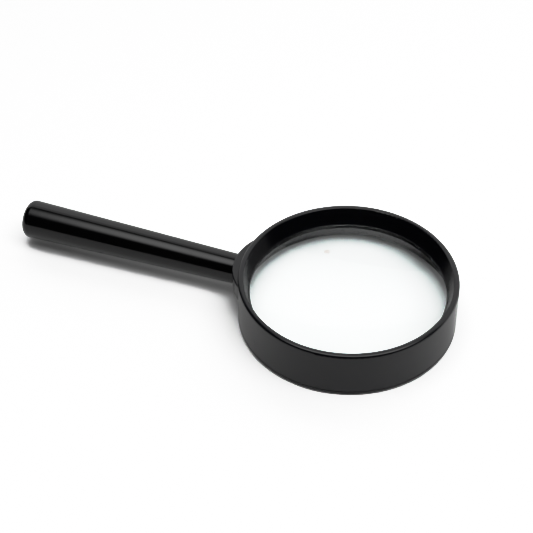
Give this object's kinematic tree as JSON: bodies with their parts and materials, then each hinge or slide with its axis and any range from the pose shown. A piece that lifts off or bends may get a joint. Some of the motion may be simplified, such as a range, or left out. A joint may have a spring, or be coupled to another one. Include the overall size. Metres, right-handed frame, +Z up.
{
  "type": "magnifying glass",
  "caption": "Round hand magnifier: a deep glossy black frame holds a glass lens above its flat foot, with a straight tapered handle at its side.",
  "frame": {"origin": "on the lens axis, in the plane the frame's foot rests on (the lower end of the viewing opening)", "axes": "+Z up along the lens axis, from the foot to the rim; the handle runs along -X, so X is the length; Y is the width"},
  "size_m": [0.1732, 0.082, 0.0195],
  "materials": {
    "black_moulding": "glossy moulded black",
    "handle_moulding": "glossy moulded black",
    "lens_glass": "polished clear",
    "screw_steel": "zinc plated"
  },
  "bodies": {
    "root": {"lens_frame": "black_moulding", "lens": "lens_glass", "retaining_ring": "black_moulding", "handle_tube": "handle_moulding", "handle_screw": "screw_steel", "end_cap": "handle_moulding"}
  },
  "joints": []
}
